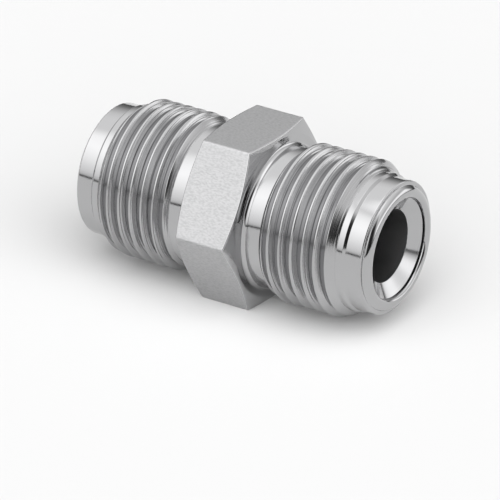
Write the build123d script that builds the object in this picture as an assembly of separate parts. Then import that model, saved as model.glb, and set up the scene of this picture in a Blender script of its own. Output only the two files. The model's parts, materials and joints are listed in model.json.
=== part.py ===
from build123d import *
from math import cos, pi, radians, tan
import os

# Face seal union body for 1/2 inch tube lines, turned in one piece from hexagon bar.
# Millimetres. The flow axis is X and the origin is the middle of the hexagon on that axis.
# The body lies on one hexagon flat, so +Z is up. Both ends are alike.

# Thread, 7/8-14 unified, right hand
threads_per_inch = 14
thread_flank_angle = 60.0
thread_major_radius = 11.05
thread_length = 11.7
thread_end_below_root = 0.42
thread_start_plus_end = 170.0
thread_start_minus_end = -43.0

# Hexagon, with its flats just above the thread so that the nuts pass over it
flats_above_thread = 0.75
hex_width = 8.9
hex_bevel_angle = 19.0
hex_face_inset = 0.4

# Relief land between the hexagon and the thread
relief_length = 2.75
relief_below_root = 0.17
relief_fillet = 0.65

# Plain collar after the thread, then the nose that the gasket retainer holds on
collar_length = 0.9
nose_below_collar = 0.35
nose_length = 2.75
nose_edge_break = 0.2

# Bead that presses into the gasket
bead_inset = 1.75
bead_height = 0.85
bead_outer_round = 1.2
bead_inner_round = 0.55

# Flow passage, with a cone from the foot of the bead into the bore
bore_radius = 5.08
bead_foot_rise = 0.05
cone_depth = 1.15

# Thread section
pitch = 25.4 / threads_per_inch
groove_floor = pitch / 4
crest_width = pitch / 8
half_flank = radians(thread_flank_angle / 2)
thread_depth = (pitch - groove_floor - crest_width) / 2 / tan(half_flank)
thread_root_radius = thread_major_radius - thread_depth

# Radii
hex_flat_radius = thread_major_radius + flats_above_thread
hex_corner_radius = hex_flat_radius / cos(pi / 6)
hex_face_radius = hex_flat_radius - hex_face_inset
relief_radius = thread_root_radius - relief_below_root
collar_radius = thread_root_radius - thread_end_below_root
nose_radius = collar_radius - nose_below_collar
bead_crest_radius = nose_radius - bead_inset
bead_foot_radius = bead_crest_radius - bead_inner_round

# Stations, measured along the axis from the middle of the hexagon
hex_face = hex_width / 2
bevel_corner = hex_face - (hex_corner_radius - hex_face_radius) * tan(radians(hex_bevel_angle))
relief_start = hex_face + relief_fillet
relief_end = hex_face + relief_length
crest_start = relief_end + thread_major_radius - relief_radius
thread_end = relief_end + thread_length
crest_end = thread_end - (thread_major_radius - collar_radius)
collar_end = thread_end + collar_length
nose_start = collar_end + nose_below_collar
shoulder = collar_end + nose_length
bead_crest = shoulder + bead_height
bead_foot = shoulder + bead_foot_rise
cone_start = bead_foot - cone_depth

# Radius at which the outer round of the bead rises from the shoulder
round_center_depth = bead_outer_round - bead_height
bead_shoulder_radius = bead_crest_radius + (bead_outer_round ** 2 - round_center_depth ** 2) ** 0.5

# Plane across the flow axis, with its x along +Y and its y along +Z
across_axis = Plane(origin=(0, 0, 0), x_dir=(0, 1, 0), z_dir=(1, 0, 0))


def quarter_round(start, corner, end):
    """Arc tangent to both sides of a square corner"""
    sag = 1 - cos(pi / 4)
    middle = tuple(c + (s - c) * sag + (e - c) * sag for s, c, e in zip(start, corner, end))
    return ThreePointArc(start, middle, end)


def half_section():
    """Section of one half above the axis, from the middle of the hexagon to the bead"""
    hexagon = Polyline(
        (0, bore_radius),
        (0, hex_corner_radius),
        (bevel_corner, hex_corner_radius),
        (hex_face, hex_face_radius),
        (hex_face, relief_radius + relief_fillet),
    )
    fillet = quarter_round(
        (hex_face, relief_radius + relief_fillet),
        (hex_face, relief_radius),
        (relief_start, relief_radius),
    )
    turned = Polyline(
        (relief_start, relief_radius),
        (relief_end, relief_radius),
        (crest_start, thread_major_radius),
        (crest_end, thread_major_radius),
        (thread_end, collar_radius),
        (collar_end, collar_radius),
        (nose_start, nose_radius),
        (shoulder - nose_edge_break, nose_radius),
        (shoulder, nose_radius - nose_edge_break),
        (shoulder, bead_shoulder_radius),
    )
    crest = (bead_crest, bead_crest_radius)
    outer_round = RadiusArc((shoulder, bead_shoulder_radius), crest, bead_outer_round)
    inner_round = quarter_round(
        crest, (bead_crest, bead_foot_radius), (bead_crest - bead_inner_round, bead_foot_radius)
    )
    passage = Polyline(
        (bead_crest - bead_inner_round, bead_foot_radius),
        (bead_foot, bead_foot_radius),
        (cone_start, bore_radius),
        (0, bore_radius),
    )
    return make_face([hexagon, fillet, turned, outer_round, inner_round, passage])


def thread_groove():
    """Helical groove that starts over the relief land and runs out through the end chamfer"""
    top_radius = thread_major_radius + crest_width / 2
    half_floor = groove_floor / 2
    half_top = half_floor + (top_radius - thread_root_radius) * tan(half_flank)
    section = Plane.XZ * make_face(
        Polyline(
            (thread_root_radius, -half_floor),
            (thread_root_radius, half_floor),
            (top_radius, half_top),
            (top_radius, -half_top),
            close=True,
        )
    )
    helix = Helix(pitch=pitch, height=thread_length + pitch, radius=thread_root_radius)
    groove = sweep(section, path=helix, is_frenet=True)
    return across_axis.location * Location((0, 0, relief_end - pitch / 2)) * groove


def make_union_body():
    """Two threaded ends, the second turned about, within one hexagon bar"""
    end = revolve(half_section(), axis=Axis.X) - thread_groove()
    plus_end = end.rotate(Axis.X, thread_start_plus_end)
    minus_end = end.rotate(Axis.X, thread_start_minus_end).rotate(Axis.Z, 180)
    hexagon = RegularPolygon(hex_flat_radius, 6, major_radius=False)
    bar = extrude(across_axis * hexagon, bead_crest, both=True)
    return (plus_end + minus_end) & bar


os.makedirs("parts", exist_ok=True)
union_body = make_union_body()
export_step(union_body, "parts/union_body.step")
print("overall length", round(2 * bead_crest, 2), "mm")
print("across flats", round(2 * hex_flat_radius, 2), "mm")
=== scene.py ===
import json
from math import atan2, ceil, cos, pi, radians, sin, sqrt, tan

import bpy
from mathutils import Matrix, Vector


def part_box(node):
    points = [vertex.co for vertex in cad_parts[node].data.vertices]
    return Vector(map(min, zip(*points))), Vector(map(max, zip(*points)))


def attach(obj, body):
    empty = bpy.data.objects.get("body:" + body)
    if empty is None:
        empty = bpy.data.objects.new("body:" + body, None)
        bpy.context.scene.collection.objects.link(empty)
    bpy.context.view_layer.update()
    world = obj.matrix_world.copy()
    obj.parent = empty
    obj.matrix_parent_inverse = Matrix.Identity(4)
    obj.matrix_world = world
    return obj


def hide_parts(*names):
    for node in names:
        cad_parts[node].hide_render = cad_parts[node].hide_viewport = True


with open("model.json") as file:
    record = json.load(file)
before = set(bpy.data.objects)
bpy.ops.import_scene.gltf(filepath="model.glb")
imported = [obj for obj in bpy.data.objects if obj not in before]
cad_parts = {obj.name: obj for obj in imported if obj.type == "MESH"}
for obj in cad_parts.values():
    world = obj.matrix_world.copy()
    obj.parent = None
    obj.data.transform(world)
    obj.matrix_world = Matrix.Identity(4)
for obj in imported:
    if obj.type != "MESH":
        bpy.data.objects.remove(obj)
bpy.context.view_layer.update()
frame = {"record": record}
mm = 0.001
print("frame loaded")


# Node trees

class Signal:  # a socket that plain Python maths works on, each operator adding its node
    def __init__(self, tree, socket=None):
        self.tree = tree
        self.socket = socket

    def node(self, kind, settings=None, values=None, output=0):
        made = self.tree.nodes.new(kind)
        for name, value in (settings or {}).items():
            if name == "stops":
                fillRamp(made.color_ramp, value)
            else:
                setattr(made, name, value)
        for name, value in (values or {}).items():
            if isinstance(value, Signal):
                self.tree.links.new(value.socket, made.inputs[name])
            else:
                made.inputs[name].default_value = value
        return Signal(self.tree, made.outputs[output] if made.outputs else None)

    def math(self, operation, *terms):
        return self.node("ShaderNodeMath", {"operation": operation}, dict(enumerate(terms)))

    def __add__(self, other):
        return self.math("ADD", self, other)

    def __radd__(self, other):
        return self.math("ADD", other, self)

    def __sub__(self, other):
        return self.math("SUBTRACT", self, other)

    def __rsub__(self, other):
        return self.math("SUBTRACT", other, self)

    def __mul__(self, other):
        return self.math("MULTIPLY", self, other)

    def __rmul__(self, other):
        return self.math("MULTIPLY", other, self)

    def __truediv__(self, other):
        return self.math("DIVIDE", self, other)

    def __gt__(self, other):
        return self.math("GREATER_THAN", self, other)

    def __lt__(self, other):
        return self.math("LESS_THAN", self, other)

    def parts(self):
        split = self.tree.nodes.new("ShaderNodeSeparateXYZ")
        self.tree.links.new(self.socket, split.inputs[0])
        return [Signal(self.tree, socket) for socket in split.outputs]


def fillRamp(ramp, stops):
    while len(ramp.elements) < len(stops):
        ramp.elements.new(1.0)
    for element, (place, grey) in zip(ramp.elements, stops):
        element.position = place
        element.color = (grey, grey, grey, 1)


def mixColours(factor, first, second):
    values = {"Factor": factor, 6: first, 7: second}  # the Mix node's own colour sockets
    return factor.node("ShaderNodeMix", {"data_type": "RGBA"}, values, 2)


# The union body

mounts = {mount["name"]: mount["dims"] for mount in frame["record"]["mounts"] if mount["dims"]}
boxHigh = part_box("union_body")[1]

unionBody = {  # millimetres and degrees
    "beadCrest": boxHigh[0] / mm,
    "flatRadius": boxHigh[2] / mm,
    "boreRadius": mounts["flow_bore"]["r_mm"],
    "threadRadius": mounts["thread_plus"]["r_mm"],
    "pitch": 25.4 / 14,
    "flankAngle": 60,
    "threadLength": 11.7,
    "threadStarts": (170, -43),
    "hexWidth": 8.9,
    "hexFaceInset": 0.4,
    "bevelAngle": 19,
    "reliefLength": 2.75,
    "reliefBelowRoot": 0.17,
    "reliefFillet": 0.65,
    "collarBelowRoot": 0.42,
    "collarLength": 0.9,
    "noseBelowCollar": 0.35,
    "noseLength": 2.75,
    "noseEdge": 0.2,
    "beadInset": 1.75,
    "beadHeight": 0.85,
    "beadOuterRound": 1.2,
    "beadInnerRound": 0.55,
    "footRise": 0.05,
    "coneDepth": 1.15,
    "edgeRound": 0.08,
    "hexEdgeRound": 0.14,
    "hexCornerBlend": 0.25,
    "threadEdgeBlend": 0.06,
    "mergeDistance": 0.001,
    # how the mesh is divided
    "columns": 168,
    "columnCrowding": 0.85,
    "flatSpans": (0, 0.3, 0.6, 0.85, 0.97),
    "bevelShares": (0.97, 0.8, 0.6, 0.4, 0.2, 0.05, 0),
    "edgeSteps": 4,
    "filletSteps": 8,
    "flankSteps": 7,
    "outerRoundSteps": 14,
    "innerRoundSteps": 8,
    # share of the thread's depth where the painted shade along the groove's root starts and is full
    "grooveShade": (0.78, 0.98),
}


def deriveSizes(size):
    halfFlank = radians(size["flankAngle"] / 2)
    size["grooveFloor"] = size["pitch"] / 4
    size["crestWidth"] = size["pitch"] / 8
    size["flankRun"] = (size["pitch"] - size["grooveFloor"] - size["crestWidth"]) / 2
    size["flankSlope"] = 1 / tan(halfFlank)
    size["rootRadius"] = size["threadRadius"] - size["flankRun"] * size["flankSlope"]
    size["faceRadius"] = size["flatRadius"] - size["hexFaceInset"]
    size["reliefRadius"] = size["rootRadius"] - size["reliefBelowRoot"]
    size["collarRadius"] = size["rootRadius"] - size["collarBelowRoot"]
    size["noseRadius"] = size["collarRadius"] - size["noseBelowCollar"]
    size["crestRadius"] = size["noseRadius"] - size["beadInset"]
    size["hexFace"] = size["hexWidth"] / 2
    size["reliefEnd"] = size["hexFace"] + size["reliefLength"]
    size["threadEnd"] = size["reliefEnd"] + size["threadLength"]
    size["collarEnd"] = size["threadEnd"] + size["collarLength"]
    size["shoulder"] = size["beadCrest"] - size["beadHeight"]
    size["grooveCentre"] = size["reliefEnd"] - size["pitch"] / 2


plainRow = {"zone": 0.0, "spot": (0.0, 0.0), "rule": (0.0, 0.0, 0.0), "span": 1.0, "flat": 0.0}
threadZone = 1.0
hexZone = 2.0


def turnedRows(points):
    return [{**plainRow, "spot": tuple(point)} for point in points]


def arcPoints(centre, radius, start, end, steps):
    turns = [start + (end - start) * step / steps for step in range(steps + 1)]
    return [(centre[0] + radius * cos(turn), centre[1] + radius * sin(turn)) for turn in turns]


def roundedLine(points, steps):
    # straight runs with a tangent arc at each inner point, given as station, radius and rounding
    path = [points[0][:2]]
    for before, (station, radius, rounding), after in zip(points, points[1:], points[2:]):
        corner = Vector((station, radius))
        back = (Vector(before[:2]) - corner).normalized()
        ahead = (Vector(after[:2]) - corner).normalized()
        half = back.angle(ahead) / 2
        centre = corner + (back + ahead).normalized() * rounding / sin(half)
        start = corner + back * rounding / tan(half) - centre
        end = corner + ahead * rounding / tan(half) - centre
        for step in range(steps + 1):
            spoke = start.lerp(end, step / steps).normalized() * rounding
            path.append(tuple(centre + spoke))
    return path + [points[-1][:2]]


def hexRows(size):
    # from the middle of a flat over the rounded edge and down the bevel to the face
    edge = size["hexEdgeRound"]
    steps = size["edgeSteps"]
    rows = []
    for span in size["flatSpans"]:
        rows.append({**plainRow, "zone": hexZone, "rule": (1, 0, edge), "span": span, "flat": 1.0})
    for step in range(steps + 1):
        turn = 1 - step / steps
        flat = 1.0 if step == 0 else 0.0
        rule = (1, edge * (1 - turn) ** 2, edge * turn ** 2)
        rows.append({**plainRow, "zone": hexZone, "rule": rule, "flat": flat})
    for share in size["bevelShares"]:
        rows.append({**plainRow, "zone": hexZone, "rule": (share, edge * share, 0)})
    return rows


def threadRows(size):
    # stations over each pitch, close together where a flank meets the floor and the crest
    near = size["threadEdgeBlend"] * 2 / 3
    floor = size["grooveFloor"] / 2
    crest = floor + size["flankRun"]
    half = [0, floor / 2, floor - near, floor, floor + near]
    steps = size["flankSteps"]
    flank = crest - floor - 2 * near
    half += [floor + near + flank * step / steps for step in range(1, steps)]
    half += [crest - near, crest, crest + near, size["pitch"] / 2]
    around = half + [size["pitch"] - place for place in half[-2:0:-1]]
    pitches = ceil(size["threadLength"] / size["pitch"]) + 2
    first = size["grooveCentre"] - size["pitch"]
    stations = [first + turn * size["pitch"] + place for turn in range(pitches) for place in around]
    stations.append(first + pitches * size["pitch"])
    return [{**plainRow, "zone": threadZone, "rule": (station * mm, 0, 0)} for station in stations]


def halfSection(size):
    edge = size["edgeRound"]
    near = edge / 2
    rows = hexRows(size)
    rows += turnedRows(roundedLine([
        (size["hexFace"], size["faceRadius"] - near, 0),
        (size["hexFace"], size["reliefRadius"], size["reliefFillet"]),
        (size["reliefEnd"] - near, size["reliefRadius"], 0),
    ], size["filletSteps"]))
    rows += threadRows(size)
    rise = size["beadOuterRound"] - size["beadHeight"]
    lift = atan2(sqrt(size["beadOuterRound"] ** 2 - rise ** 2), rise)
    beadStart = size["crestRadius"] + size["beadOuterRound"] * sin(lift)
    rows += turnedRows(roundedLine([
        (size["threadEnd"] + near, size["collarRadius"], 0),
        (size["collarEnd"], size["collarRadius"], edge),
        (size["collarEnd"] + size["noseBelowCollar"], size["noseRadius"], edge),
        (size["shoulder"], size["noseRadius"], size["noseEdge"]),
        (size["shoulder"], beadStart + near, 0),
    ], size["edgeSteps"]))
    outer = (size["beadCrest"] - size["beadOuterRound"], size["crestRadius"])
    inner = (size["beadCrest"] - size["beadInnerRound"], size["crestRadius"])
    rows += turnedRows(arcPoints(outer, size["beadOuterRound"], lift, 0, size["outerRoundSteps"]))
    rows += turnedRows(arcPoints(inner, size["beadInnerRound"], 0, -pi / 2, size["innerRoundSteps"])[1:])
    footRadius = size["crestRadius"] - size["beadInnerRound"]
    foot = size["shoulder"] + size["footRise"]
    rows += turnedRows(roundedLine([
        (inner[0] - near, footRadius, 0),
        (foot, footRadius, near),
        (foot - size["coneDepth"], size["boreRadius"], edge),
        (size["hexFace"], size["boreRadius"], 0),
    ], size["edgeSteps"]))
    rows.append({**plainRow, "spot": (0, size["boreRadius"])})
    return rows


def makeSectionMesh(size):
    # the grid's rows as points: out along the +X half and back through the passage,
    # then the same for the -X half in the opposite order
    half = halfSection(size)
    rows = [(row, 1.0) for row in half] + [(row, -1.0) for row in reversed(half)]
    section = bpy.data.meshes.new("unionBodySection")
    spots = [(row["spot"][0] * mm, 0, row["spot"][1] * mm) for row, side in rows]
    section.from_pydata(spots, [], [])
    for name in ("zone", "span", "flat"):
        layer = section.attributes.new(name, "FLOAT", "POINT")
        layer.data.foreach_set("value", [row[name] for row, side in rows])
    layer = section.attributes.new("side", "FLOAT", "POINT")
    layer.data.foreach_set("value", [side for row, side in rows])
    layer = section.attributes.new("rule", "FLOAT_VECTOR", "POINT")
    layer.data.foreach_set("vector", [value for row, side in rows for value in row["rule"]])
    print("section rows", len(rows))
    return section


def storeValue(geometry, name, value):
    values = {"Geometry": geometry, "Name": name, "Value": value}
    settings = {"data_type": "FLOAT", "domain": "POINT"}
    return geometry.node("GeometryNodeStoreNamedAttribute", settings, values)


def makeBodyTree(size, turnedSteel, drawnSteel):
    # turns the section's rows round the flow axis, cutting the hexagon and the two threads as it goes
    tree = bpy.data.node_groups.new("unionBodyTree", "GeometryNodeTree")
    tree.is_modifier = True
    tree.interface.new_socket("Section", in_out="INPUT", socket_type="NodeSocketGeometry")
    named = {
        "Columns": size["columns"],
        "Column Crowding": size["columnCrowding"],
        "Flat Radius": size["flatRadius"] * mm,
        "Hexagon Face": size["hexFace"] * mm,
        "Face Radius": size["faceRadius"] * mm,
        "Bevel Angle": radians(size["bevelAngle"]),
        "Edge Blend": size["hexCornerBlend"] * mm,
        "Pitch": size["pitch"] * mm,
        "Crest Radius": size["threadRadius"] * mm,
        "Root Radius": size["rootRadius"] * mm,
        "Half Floor": size["grooveFloor"] / 2 * mm,
        "Flank Slope": size["flankSlope"],
        "Groove Centre": size["grooveCentre"] * mm,
        "Thread Blend": size["threadEdgeBlend"] * mm,
        "Relief Radius": size["reliefRadius"] * mm,
        "Relief End": size["reliefEnd"] * mm,
        "Collar Radius": size["collarRadius"] * mm,
        "Thread End": size["threadEnd"] * mm,
        "Plus Start": radians(size["threadStarts"][0]),
        "Minus Start": radians(size["threadStarts"][1]),
    }
    sockets = {}
    for name, value in named.items():
        kind = "NodeSocketInt" if name == "Columns" else "NodeSocketFloat"
        sockets[name] = tree.interface.new_socket(name, in_out="INPUT", socket_type=kind)
        sockets[name].default_value = value
    tree.interface.new_socket("Body", in_out="OUTPUT", socket_type="NodeSocketGeometry")
    entry = tree.nodes.new("NodeGroupInput")
    given = {name: Signal(tree, entry.outputs[name]) for name in named}
    start = Signal(tree, entry.outputs["Section"])

    sizeNode = "GeometryNodeAttributeDomainSize"
    rowCount = start.node(sizeNode, {"component": "MESH"}, {"Geometry": start}, "Point Count")
    values = {"Vertices X": given["Columns"] + 1, "Vertices Y": rowCount}
    grid = start.node("GeometryNodeMeshGrid", {}, values, "Mesh")
    index = start.node("GeometryNodeInputIndex")
    column = index.math("FLOOR", index / rowCount)
    row = index - column * rowCount

    def fromRow(name, kind="FLOAT"):
        if name == "position":
            field = start.node("GeometryNodeInputPosition")
        else:
            field = start.node("GeometryNodeInputNamedAttribute", {"data_type": kind}, {"Name": name})
        values = {"Geometry": start, "Value": field, "Index": row}
        return start.node("GeometryNodeSampleIndex", {"data_type": kind, "domain": "POINT"}, values)

    side = fromRow("side")
    zone = fromRow("zone")
    spot = fromRow("position", "FLOAT_VECTOR").parts()
    rule = fromRow("rule", "FLOAT_VECTOR").parts()
    span = fromRow("span")

    # columns crowd towards the hexagon's corners
    even = column * (2 * pi) / given["Columns"]
    turn = even - given["Column Crowding"] * even.math("SINE", even * 6) / 6

    # hexagon: the edge where the bevel meets the flat, at this angle
    fromFlat = turn.math("WRAP", turn, pi / 3, 0.0) - pi / 6
    offFlat = fromFlat.math("ABSOLUTE", fromFlat)
    nearFlat = given["Flat Radius"] / offFlat.math("COSINE", offFlat)
    nextFlat = given["Flat Radius"] / offFlat.math("COSINE", pi / 3 - offFlat)
    edgeRadius = nearFlat.math("SMOOTH_MIN", nearFlat, nextFlat, given["Edge Blend"])
    bevelSlope = turn.math("TANGENT", given["Bevel Angle"])
    bevelSine = turn.math("SINE", given["Bevel Angle"])
    bevelCosine = turn.math("COSINE", given["Bevel Angle"])
    edgeRise = edgeRadius - given["Face Radius"]
    share, alongBevel, alongFlat = rule
    hexStation = given["Hexagon Face"] - share * (edgeRise * bevelSlope)
    hexStation = hexStation + mm * (alongBevel * bevelSine - alongFlat)
    hexStation = hexStation * span
    hexRadius = given["Face Radius"] + share * edgeRise - mm * alongBevel * bevelCosine

    # thread: a right hand helix of the row's station, held between the relief land and the collar
    threadStart = given["Minus Start"] + (side > 0) * (given["Plus Start"] - given["Minus Start"])
    threadTurn = side * (turn - pi / 2) + pi / 2 - threadStart
    advance = given["Pitch"] * threadTurn / (2 * pi)
    station = side.math("MAXIMUM", given["Relief End"], share + advance)
    station = side.math("MINIMUM", given["Thread End"], station)
    halfPitch = given["Pitch"] / 2
    fromGroove = side.math("WRAP", share - given["Groove Centre"], halfPitch, halfPitch * -1.0)
    climb = (side.math("ABSOLUTE", fromGroove) - given["Half Floor"]) * given["Flank Slope"]
    form = given["Root Radius"] + side.math("SMOOTH_MAX", climb, 0.0, given["Thread Blend"])
    form = side.math("SMOOTH_MIN", form, given["Crest Radius"], given["Thread Blend"])
    leadIn = given["Relief Radius"] + station - given["Relief End"]
    leadOut = given["Collar Radius"] + given["Thread End"] - station
    lead = side.math("MINIMUM", leadIn, leadOut)
    threadRadius = side.math("SMOOTH_MIN", form, lead, given["Thread Blend"])

    isHex = zone > (hexZone + threadZone) / 2
    isTurned = 1 - (zone > threadZone / 2)
    isThread = 1 - isHex - isTurned
    x = side * (isTurned * spot[0] + isThread * station + isHex * hexStation)
    radius = isTurned * spot[2] + isThread * threadRadius + isHex * hexRadius
    values = {"X": x, "Y": radius * turn.math("COSINE", turn), "Z": radius * turn.math("SINE", turn)}
    place = start.node("ShaderNodeCombineXYZ", {}, values)

    # painted shade: the deeper a point lies in the thread's groove, the more painted shade its root gets
    depth = (given["Crest Radius"] - threadRadius) / (given["Crest Radius"] - given["Root Radius"])
    shallow, full = size["grooveShade"]
    values = {"Value": depth, "From Min": shallow, "From Max": full}
    rootShadeRamp = start.node("ShaderNodeMapRange", {"interpolation_type": "SMOOTHSTEP"}, values)
    body = storeValue(grid, "flat", fromRow("flat"))
    body = storeValue(body, "cut", isThread)
    body = storeValue(body, "groove", rootShadeRamp * isThread * (form < lead))
    body = start.node("GeometryNodeSetPosition", {}, {"Geometry": body, "Position": place})
    values = {"Geometry": body, "Distance": size["mergeDistance"] * mm}
    body = start.node("GeometryNodeMergeByDistance", {}, values)
    body = start.node("GeometryNodeSetShadeSmooth", {}, {"Geometry": body, "Shade Smooth": True})
    body = start.node("GeometryNodeRealizeInstances", {}, {"Geometry": body})
    body = start.node("GeometryNodeSetMaterial", {}, {"Geometry": body, "Material": turnedSteel})
    marked = start.node("GeometryNodeInputNamedAttribute", {"data_type": "FLOAT"}, {"Name": "flat"})
    allFlat = 0.99  # a face takes this finish when all its points are on a flat
    values = {"Geometry": body, "Selection": marked > allFlat, "Material": drawnSteel}
    body = start.node("GeometryNodeSetMaterial", {}, values)
    start.node("NodeGroupOutput", {}, {"Body": body})
    return tree, sockets, named


def makeUnionBody(size, turnedSteel, drawnSteel):
    deriveSizes(size)
    tree, sockets, named = makeBodyTree(size, turnedSteel, drawnSteel)
    holder = bpy.data.objects.new("unionBodySection", makeSectionMesh(size))
    bpy.context.scene.collection.objects.link(holder)
    modifier = holder.modifiers.new("turned", "NODES")
    modifier.node_group = tree
    for name, value in named.items():
        modifier[sockets[name].identifier] = value
    bpy.context.view_layer.update()
    evaluated = holder.evaluated_get(bpy.context.evaluated_depsgraph_get())
    mesh = bpy.data.meshes.new_from_object(evaluated)
    holder.modifiers.remove(modifier)
    bpy.data.objects.remove(holder)
    body = bpy.data.objects.new("unionBodyTurned", mesh)
    bpy.context.scene.collection.objects.link(body)
    print("union body", len(mesh.vertices), "points", len(mesh.polygons), "faces")
    return body


# Finishes, with depths and spacings in millimetres and wash scales per metre

turnedFinish = {
    "colour": (0.44, 0.44, 0.445, 1),
    # painted shade: the darker colour painted into the thread's groove roots
    "grooveColour": (0.17, 0.17, 0.175, 1),
    "roughness": 0.1,
    "cutRoughness": 0.18,
    "boreRoughness": 0.34,
    "markDepth": 0.0009,
    "markSpacing": 0.12,
    "markLean": 0.7,  # how far the marks follow the radius as well as the axis
    "markRoughness": 0.06,
    "cutMarkDepth": 0.06,
    "cutMarkSpacing": 0.3,
    "cutMarkLean": 0.2,  # how far the thread's marks follow the axis as well as the radius
    "washScale": 260.0,
    "washRoughness": 0.05,
}

drawnFinish = {
    "colour": (0.46, 0.46, 0.465, 1),
    "darkColour": (0.37, 0.37, 0.375, 1),
    "dullRange": (0.35, 0.6),
    "roughness": 0.36,
    "grainDepth": 0.009,
    "grainSize": 0.19,
    "grainStretch": 0.45,
    "grainRoughness": 0.14,
    "washScale": 180.0,
    "washRoughness": 0.06,
}


def startMaterial(name):
    material = bpy.data.materials.new(name)
    material.use_nodes = True
    tree = material.node_tree
    shader = tree.nodes["Principled BSDF"]
    shader.inputs["Metallic"].default_value = 1.0
    coordinates = Signal(tree, tree.nodes.new("ShaderNodeTexCoord").outputs["Object"])
    return material, shader, coordinates


def finishMaterial(shader, colour, roughness, height):
    values = {"Height": height, "Distance": 1.0, "Strength": 1.0}
    bump = height.node("ShaderNodeBump", {}, values, "Normal")
    height.tree.links.new(colour.socket, shader.inputs["Base Color"])
    height.tree.links.new(roughness.socket, shader.inputs["Roughness"])
    height.tree.links.new(bump.socket, shader.inputs["Normal"])


def toolMarks(along, spacing):
    values = {"W": along, "Scale": 1 / (spacing * mm), "Detail": 2.0}
    return along.node("ShaderNodeTexNoise", {"noise_dimensions": "1D"}, values)


def makeTurnedSteel(finish, boreRadius):
    material, shader, coordinates = startMaterial("turnedSteel")
    x, y, z = coordinates.parts()
    reach = x.math("SQRT", y * y + z * z)
    marks = toolMarks(x + reach * finish["markLean"], finish["markSpacing"])
    cutMarks = toolMarks(x * finish["cutMarkLean"] + reach, finish["cutMarkSpacing"])
    cut = x.node("ShaderNodeAttribute", {"attribute_name": "cut"}, {}, "Fac")
    groove = x.node("ShaderNodeAttribute", {"attribute_name": "groove"}, {}, "Fac")
    values = {"Vector": coordinates, "Scale": finish["washScale"], "Detail": 3.0}
    wash = x.node("ShaderNodeTexNoise", {}, values)
    # painted shade: the steel darkens to the painted shade colour along the thread's groove roots
    colour = mixColours(groove, finish["colour"], finish["grooveColour"])
    edge = 0.01  # reaches just past the bore's wall
    inBore = reach < (boreRadius + edge) * mm
    roughness = finish["roughness"] + cut * (finish["cutRoughness"] - finish["roughness"])
    roughness = roughness + inBore * (finish["boreRoughness"] - finish["roughness"])
    roughness = roughness + (marks - 0.5) * finish["markRoughness"]
    roughness = roughness + (wash - 0.5) * finish["washRoughness"]
    height = (marks * finish["markDepth"] + cut * cutMarks * finish["cutMarkDepth"]) * mm
    finishMaterial(shader, colour, roughness, height)
    return material


def makeDrawnSteel(finish):
    material, shader, coordinates = startMaterial("drawnSteel")
    x, y, z = coordinates.parts()
    stretched = x.node("ShaderNodeCombineXYZ", {}, {"X": x * finish["grainStretch"], "Y": y, "Z": z})
    values = {"Vector": stretched, "Scale": 1 / (finish["grainSize"] * mm), "Detail": 3.0}
    grain = x.node("ShaderNodeTexNoise", {}, values)
    values = {"Vector": coordinates, "Scale": finish["washScale"], "Detail": 2.0}
    wash = x.node("ShaderNodeTexNoise", {}, values)
    low, high = finish["dullRange"]
    bright = x.node("ShaderNodeMapRange", {}, {"Value": grain, "From Min": low, "From Max": high})
    colour = mixColours(bright, finish["darkColour"], finish["colour"])
    roughness = finish["roughness"] + (grain - 0.5) * finish["grainRoughness"]
    roughness = roughness + (wash - 0.5) * finish["washRoughness"]
    height = grain * (finish["grainDepth"] * mm)
    finishMaterial(shader, colour, roughness, height)
    return material


# Studio

studio = {
    "floorReach": 1.6,  # metres
    "floorColour": (0.725, 0.725, 0.725, 1),
    "strength": 2.28,
    # light on matt surfaces, such as the floor: where it comes from, and how it falls off
    # with the cosine away from that direction
    "keyDirection": (0.45, -0.6, 0.64),
    "keyStops": ((0.15, 0.03), (0.5, 0.3), (0.85, 1.4)),
    # what metal mirrors, as grey against height from the horizon at 0 to straight up at 1
    "dome": ((0, 0.01), (0.02, 0.03), (0.24, 0.14), (0.45, 0.36), (0.57, 0.5), (0.7, 0.58),
             (0.92, 0.6), (0.96, 0.95)),
    # each zone stands in one direction from the part, given as degrees from +X towards +Y,
    # and is full up to the first spread and gone at the second
    "zones": (
        {"heading": -38, "full": 14, "end": 30,
         "stops": ((0, 0.01), (0.66, 0.02), (0.8, 0.3), (0.92, 0.6), (0.96, 0.95))},
        {"heading": 35, "full": 30, "end": 46,
         "stops": ((0, 0.04), (0.04, 0.2), (0.08, 0.66), (0.2, 0.84), (0.3, 0.86), (0.38, 0.5),
                   (0.5, 0.36), (0.7, 0.5), (0.92, 0.6), (0.96, 0.95))},
        {"heading": -118, "full": 41, "end": 69,
         "stops": ((0, 0.01), (0.03, 0.02), (0.05, 0.4), (0.15, 0.56), (0.29, 0.66), (0.43, 0.78),
                   (0.57, 0.88), (0.67, 0.94), (0.78, 0.9), (0.85, 0.8), (0.9, 0.6), (0.96, 0.95))},
    ),
}


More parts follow.
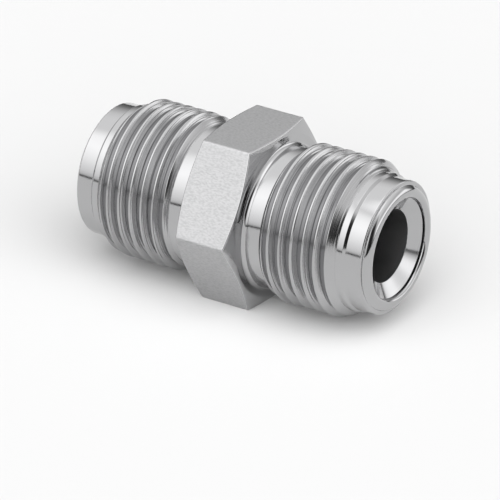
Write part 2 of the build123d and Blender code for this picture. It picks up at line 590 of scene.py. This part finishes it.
def makeStudioLight(settings):
    world = bpy.data.worlds.new("studioDome")
    world.use_nodes = True
    tree = world.node_tree
    direction = Signal(tree, tree.nodes.new("ShaderNodeTexCoord").outputs["Generated"])
    x, y, z = direction.parts()
    reach = x.math("SQRT", x * x + y * y)
    light = x.node("ShaderNodeValToRGB", {"stops": settings["dome"]}, {"Fac": z}, "Color")
    for zone in settings["zones"]:
        heading = radians(zone["heading"])
        towards = (x * cos(heading) + y * sin(heading)) / reach
        ends = {"From Min": cos(radians(zone["end"])), "From Max": cos(radians(zone["full"]))}
        smooth = {"interpolation_type": "SMOOTHSTEP"}
        inside = x.node("ShaderNodeMapRange", smooth, {"Value": towards, **ends})
        shade = x.node("ShaderNodeValToRGB", {"stops": zone["stops"]}, {"Fac": z}, "Color")
        light = mixColours(inside, light, shade)
    key = Vector(settings["keyDirection"]).normalized()
    facing = x * key.x + y * key.y + z * key.z
    fill = x.node("ShaderNodeValToRGB", {"stops": settings["keyStops"]}, {"Fac": facing}, "Color")
    matt = Signal(tree, tree.nodes.new("ShaderNodeLightPath").outputs["Is Diffuse Ray"])
    light = mixColours(matt, light, fill)
    world.cycles.sampling_method = "NONE"  # rays alone find the world, so the two lights stay apart
    background = tree.nodes["Background"]
    tree.links.new(light.socket, background.inputs["Color"])
    background.inputs["Strength"].default_value = settings["strength"]
    bpy.context.scene.world = world


def makeFloor(settings, level):
    reach = settings["floorReach"]
    mesh = bpy.data.meshes.new("studioFloor")
    corners = [(-reach, -reach, level), (reach, -reach, level), (reach, reach, level), (-reach, reach, level)]
    mesh.from_pydata(corners, [], [(0, 1, 2, 3)])
    floor = bpy.data.objects.new("studioFloor", mesh)
    bpy.context.scene.collection.objects.link(floor)
    material = bpy.data.materials.new("floorPaper")
    material.use_nodes = True
    shader = material.node_tree.nodes["Principled BSDF"]
    shader.inputs["Base Color"].default_value = settings["floorColour"]
    shader.inputs["Roughness"].default_value = 1.0
    shader.inputs["Specular IOR Level"].default_value = 0.0
    mesh.materials.append(material)


# Camera

view = {  # degrees and millimetres
    "azimuth": 31.97,
    "elevation": 26.65,
    "roll": 0.52,
    "distance": 697.4,
    "aside": 0.37,
    "below": -5.79,
    "lens": 370.0,
    "sensor": 36.0,
    "clip": (10, 20000),
}


def makeCamera(settings):
    azimuth = radians(settings["azimuth"])
    elevation = radians(settings["elevation"])
    roll = radians(settings["roll"])
    back = Vector((sin(azimuth) * cos(elevation), -cos(azimuth) * cos(elevation), sin(elevation)))
    level = Vector((cos(azimuth), sin(azimuth), 0))
    upright = back.cross(level)
    right = level * cos(roll) + upright * sin(roll)
    up = upright * cos(roll) - level * sin(roll)
    lens = bpy.data.cameras.new("camera")
    lens.lens = settings["lens"]
    lens.sensor_width = settings["sensor"]
    lens.clip_start = settings["clip"][0] * mm
    lens.clip_end = settings["clip"][1] * mm
    camera = bpy.data.objects.new("camera", lens)
    bpy.context.scene.collection.objects.link(camera)
    place = (back * settings["distance"] - right * settings["aside"] + up * settings["below"]) * mm
    turned = Matrix((right, up, back)).transposed().to_4x4()
    camera.matrix_world = Matrix.Translation(place) @ turned
    bpy.context.scene.camera = camera


turnedSteel = makeTurnedSteel(turnedFinish, unionBody["boreRadius"])
drawnSteel = makeDrawnSteel(drawnFinish)
print("finishes ready")
body = makeUnionBody(unionBody, turnedSteel, drawnSteel)
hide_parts("union_body")
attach(body, "root")

makeFloor(studio, -unionBody["flatRadius"] * mm)
makeStudioLight(studio)
makeCamera(view)
bpy.context.scene.view_settings.view_transform = "Standard"
print("studio ready")
